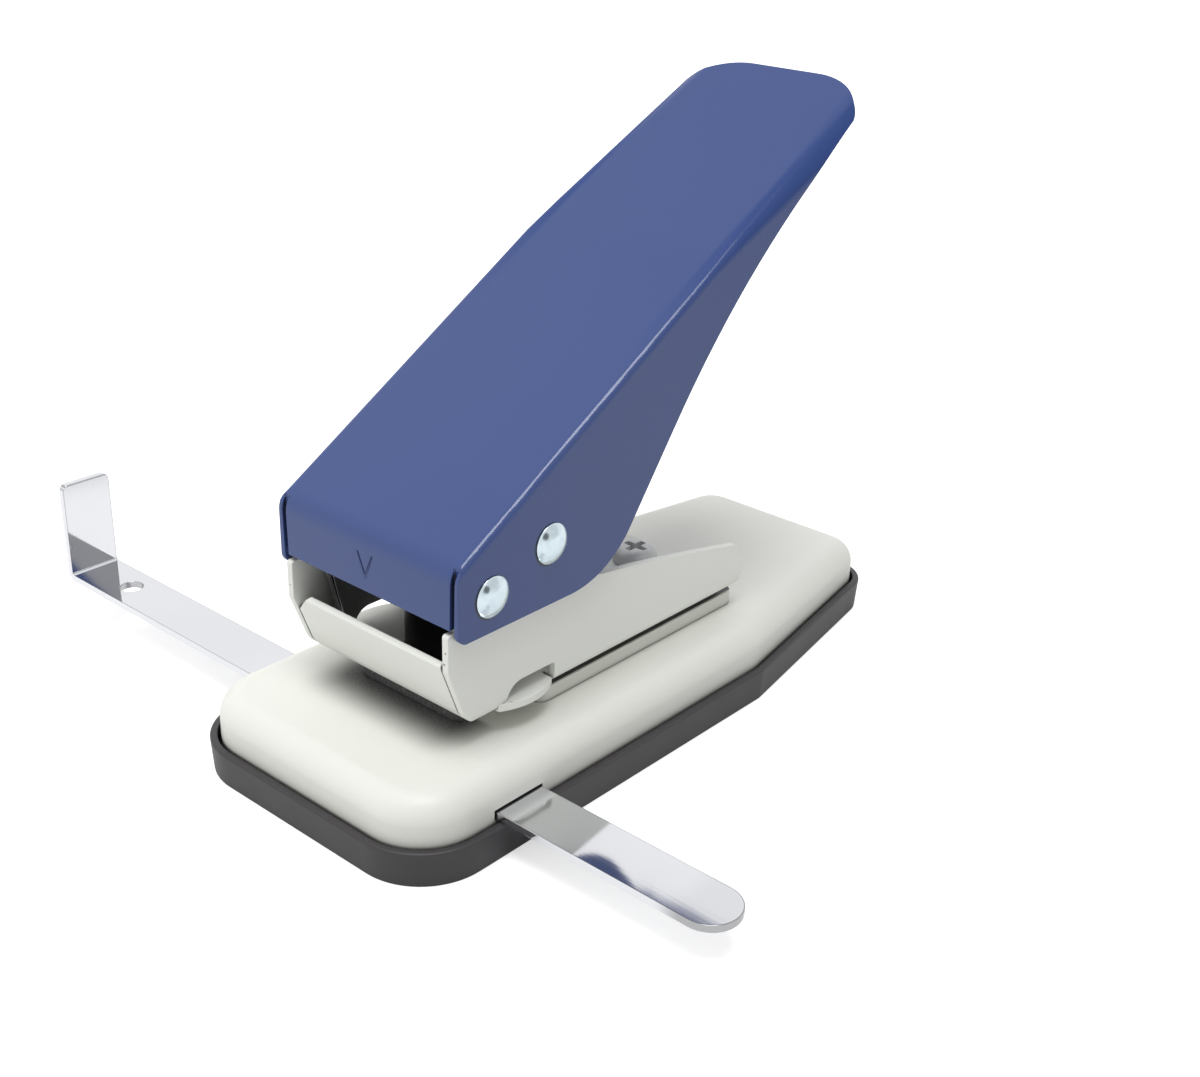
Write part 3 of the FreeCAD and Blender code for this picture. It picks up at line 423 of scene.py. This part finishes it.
# Each paint: its own colour, its mottling's, and its lighter edges' (thinner paint and a painted
# edge highlight)
GREY = rgb(0.745, 0.75, 0.70), rgb(0.715, 0.72, 0.67), rgb(0.80, 0.80, 0.76)
PALE_GREY = rgb(0.785, 0.795, 0.75), rgb(0.755, 0.765, 0.72), rgb(0.86, 0.865, 0.83)
BLUE = rgb(0.034, 0.065, 0.213), rgb(0.032, 0.061, 0.201), rgb(0.09, 0.13, 0.31)
SATIN = {"roughness": 0.42, "level": 0.35, "coat": 0.1, "peel_depth": 0.12, "seam_shade_strength": 0.9}

base_paint = paint(
    "base_paint", GREY, **SATIN, painted_shade_and_marks=lambda f: joined([under_flap_shade(f), slit_shade(f)]))
frame_paint = paint(
    "frame_paint", PALE_GREY, **SATIN, painted_shade_and_marks=lambda f: joined([inner_frame_shade(f), chips(f)]))
blue_paint = paint(
    "blue_paint", BLUE, roughness=0.5, level=0.0, coat=tail_coat, peel_depth=0.04, seam_shade_strength=0.95,
    painted_shade_and_marks=head_shade)
black_plastic = moulded_black()
bright_plate = metal(
    "bright_plate", rgb(0.80, 0.81, 0.84), rgb(0.77, 0.78, 0.81), roughness=0.06, grain=0.04,
    scratch=(20.0, 1500.0, 20.0), spread=0.03, painted_reflection=bar_edge_reflection)
bright_zinc = metal(
    "bright_zinc", rgb(0.68, 0.78, 0.83), rgb(0.56, 0.67, 0.74), roughness=0.17, grain=0.25,
    scratch=(400.0, 400.0, 400.0), patch=650.0)
ground_steel = metal(
    "ground_steel", rgb(0.52, 0.54, 0.56), rgb(0.42, 0.44, 0.46), roughness=0.32, grain=0.25,
    scratch=(14.0, 1600.0, 1600.0))
oiled_wire = metal(
    "oiled_wire", rgb(0.55, 0.55, 0.56), rgb(0.38, 0.38, 0.39), roughness=0.12, grain=0.05,
    scratch=(300.0, 300.0, 300.0))
black_steel = metal(
    "black_steel", rgb(0.035, 0.035, 0.04), rgb(0.025, 0.025, 0.028), roughness=0.42, grain=0.12,
    scratch=(1200.0, 1200.0, 20.0))
dull_zinc = metal(
    "dull_zinc", rgb(0.76, 0.76, 0.755), rgb(0.58, 0.58, 0.58), roughness=0.45, grain=0.3,
    scratch=(500.0, 500.0, 500.0), patch=300.0, metallic=0.15)
throat_steel = throat_shade()

FINISHES = {
    "black_tray": black_plastic,
    "warm_grey_paint": base_paint,
    "blue_paint": blue_paint,
    "plain_steel": ground_steel,
    "zinc_steel": bright_zinc,
    "dark_wire": oiled_wire,
    "black_steel": black_steel,
    "bright_plate": bright_plate,
}

# Nodes that look other than their slot's finish
OWN_FINISH = {"frame": frame_paint, "frame_screws": dull_zinc, "throat_spacer": throat_steel}

for part in frame["record"]["subparts"]:
    piece = nodes[part["node"]]
    piece.data.materials.clear()
    own = OWN_FINISH.get(part["node"])
    piece.data.materials.append(own or FINISHES[part["material_slot"]])


# Pieces with broken edges and even normals

WELD = 0.002 * MM                     # corners nearer than this are one
FLAT_ANGLE = math.radians(0.5)        # faces that meet at less are one
CUT_ANGLE = math.radians(28.0)        # edges that turn more are cut edges
SHARP_ANGLE = math.radians(50.0)      # edges that turn more stay sharp in the shading
LIFT = 0.01 * MM                      # a broken edge never stands this far off the node's shape


def eased(name, ease, move=None, wind=None):
    """The node's own shape with every cut edge broken by ease mm, in place of the bare node.

    With wind, two points on the pivot pin, the piece is left in place on its own instead of
    following its node's body; the points themselves are not used.
    """
    node = nodes[name]
    mesh = node.data.copy()
    mesh.name = name + "_eased"
    if "custom_normal" in mesh.attributes:
        mesh.attributes.remove(mesh.attributes["custom_normal"])
    shape = bmesh.new()
    shape.from_mesh(mesh)
    bmesh.ops.remove_doubles(shape, verts=shape.verts, dist=WELD)
    bmesh.ops.dissolve_limit(
        shape, angle_limit=FLAT_ANGLE, verts=shape.verts, edges=shape.edges,
        use_dissolve_boundaries=False, delimit=set())
    if move:
        for corner in shape.verts:
            corner.co = move(corner.co)
    if ease:
        skin = BVHTree.FromBMesh(shape)
        cut = [e for e in shape.edges if e.is_manifold and e.calc_face_angle() > CUT_ANGLE]
        bmesh.ops.bevel(
            shape, geom=cut, offset=ease * MM, offset_type="OFFSET", segments=2, profile=0.5,
            affect="EDGES", clamp_overlap=False, loop_slide=False)
        for corner in shape.verts:
            spot, outward, _, gap = skin.find_nearest(corner.co)
            if gap > ease * MM or (corner.co - spot).dot(outward) > LIFT:
                corner.co = spot
    for face in shape.faces:
        face.smooth = True
    for edge in shape.edges:
        edge.smooth = not (edge.is_manifold and edge.calc_face_angle() > SHARP_ANGLE)
    shape.to_mesh(mesh)
    shape.free()
    piece = bpy.data.objects.new(name + "_eased", mesh)
    bpy.context.scene.collection.objects.link(piece)
    even = piece.modifiers.new("even_normals", "WEIGHTED_NORMAL")
    even.mode = "FACE_AREA"
    even.keep_sharp = True
    if wind:
        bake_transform(piece)
    else:
        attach(piece, node["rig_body"])
    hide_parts(name)


SEAM_BOX = (21.3 * MM, 22.3 * MM), 1.85 * MM, 53.6 * MM      # edges of the seams: X, depth, top
SEAM_OPENING = 0.35 * MM
MARK_BOX = 3.0 * MM, (0.52 * MM, 0.7 * MM), (43.5 * MM, 49.5 * MM)     # bottom of the mark
MARK_DEPTH_KEPT = 0.25


def lever_details(at):
    """Opens the front seams a little and makes the centre mark shallower."""
    x, y, z = at
    (inner, outer), depth, top = SEAM_BOX
    if inner < abs(x) < outer and y < depth and z < top:
        x -= math.copysign(SEAM_OPENING, x)
    half, (face, bottom), (low, high) = MARK_BOX
    if abs(x) < half and face < y < bottom and low < z < high:
        y = LEVER_FRONT_Y + MARK_DEPTH_KEPT * (y - LEVER_FRONT_Y)
    return x, y, z


eased("lever", 0.15, move=lever_details)
for name, ease in (
        ("frame", 0.15), ("base_shell", 0.2), ("base_tray", 0.2), ("guide_bar", 0.12),
        ("die_plate", 0.1), ("pivot_pin", 0.06), ("drive_pin", 0.06), ("frame_screws", 0.08),
        ("punch", 0.1)):
    eased(name, ease)

for name, side in (("return_spring_left", -1), ("return_spring_right", 1)):
    still = (side * LOWER_LEG_X, PIVOT_Y, PIVOT_Z)
    turned = (side * UPPER_LEG_X, PIVOT_Y, PIVOT_Z)
    eased(name, 0, wind=(still, turned))


# Floor, light and camera

WHITE = rgb(1, 1, 1)
FLOOR_REACH = 9.0


def floor():
    """A pale floor that glows a little, so that it looks white to the eye."""
    mesh = bpy.data.meshes.new("floor")
    square = ((-1, -1), (1, -1), (1, 1), (-1, 1))
    mesh.from_pydata([(x * FLOOR_REACH, y * FLOOR_REACH, 0) for x, y in square], [], [(0, 1, 2, 3)])
    ground = bpy.data.objects.new("floor", mesh)
    bpy.context.scene.collection.objects.link(ground)
    finish = Finish("pale_floor")
    finish.set(Base_Color=rgb(0.8, 0.8, 0.8), Roughness=0.9, Specular_IOR_Level=0.0)
    eye = finish.ray("Is Camera Ray", "Is Transmission Ray")
    gloss = finish.ray("Is Glossy Ray")
    glow = finish.node("ShaderNodeEmission", {}, WHITE, eye * 0.5 + gloss * 0.1)
    lit = finish.nodes.new("ShaderNodeAddShader")
    finish.links.new(finish.shader.outputs[0], lit.inputs[0])
    finish.links.new(glow.socket, lit.inputs[1])
    finish.links.new(lit.outputs[0], finish.nodes["Material Output"].inputs[0])
    mesh.materials.append(finish.material)


def lamp(name, toward, strength, spread):
    """A broad soft light from a direction."""
    light = bpy.data.lights.new(name, "SUN")
    light.energy = strength * math.pi
    light.angle = math.radians(spread)
    holder = bpy.data.objects.new(name, light)
    bpy.context.scene.collection.objects.link(holder)
    holder.rotation_euler = Vector(toward).to_track_quat("Z", "Y").to_euler()


BROAD_DARK = Vector((0.76, 0.51, 0.41)).normalized()         # middles of the sky's darker places
NARROW_DARK = Vector((0.952, -0.052, 0.31)).normalized()


def sky():
    """White to the eye and in reflections, with two darker places; as light, brighter overhead."""
    world = bpy.data.worlds.new("studio")
    bpy.context.scene.world = world
    tree = Tree(world)
    toward = tree.node("ShaderNodeTexCoord", {}, out=0)

    def along(direction):
        return tree.vector("DOT_PRODUCT", toward, direction)

    height, right, front, left = (
        along(way).clamp() for way in ((0, 0, 1), (1, 0, 0), (0, -1, 0), (-1, 0, 0)))
    light = (0.28 + 0.62 * height) * (1.0 - 0.6 * right) + 0.30 * front + 0.40 * left
    broad = along(BROAD_DARK).above(0.92, 0.07)
    narrow = along(NARROW_DARK).above(0.976, 0.006)
    twice = tree.ray("Glossy Depth").above(1.5, 0.2)
    mirrored = (1.0 - (0.2 + 0.42 * twice) * broad) * (1.0 - 0.85 * narrow)
    eye = tree.ray("Is Camera Ray", "Is Transmission Ray")
    gloss = tree.ray("Is Glossy Ray")
    background = tree.nodes["Background"]
    tree.feed(background.inputs[0], WHITE)
    tree.feed(background.inputs[1], eye + (1.0 - eye) * (gloss * mirrored + (1.0 - gloss) * light))


LENS = 48.61
EYE_AT = (0.19857, -0.16768, 0.17348)
EYE_RIGHT = Vector((0.7503, 0.66045, 0.02925))
EYE_UP = Vector((-0.29976, 0.30045, 0.90547))


def camera():
    """The photo's point of view."""
    eye = bpy.data.cameras.new("photo_view")
    eye.sensor_fit = "HORIZONTAL"
    eye.sensor_width = 36.0
    eye.lens = LENS
    eye.clip_start = 0.01
    holder = bpy.data.objects.new("photo_view", eye)
    bpy.context.scene.collection.objects.link(holder)
    turn = Matrix((EYE_RIGHT, EYE_UP, EYE_RIGHT.cross(EYE_UP))).transposed()
    holder.matrix_world = Matrix.Translation(EYE_AT) @ turn.to_4x4()
    bpy.context.scene.camera = holder


floor()
sky()
camera()
lamp("key", (0.10, -0.12, 0.98), 0.50, 30.0)
bpy.context.scene.view_settings.view_transform = "Standard"
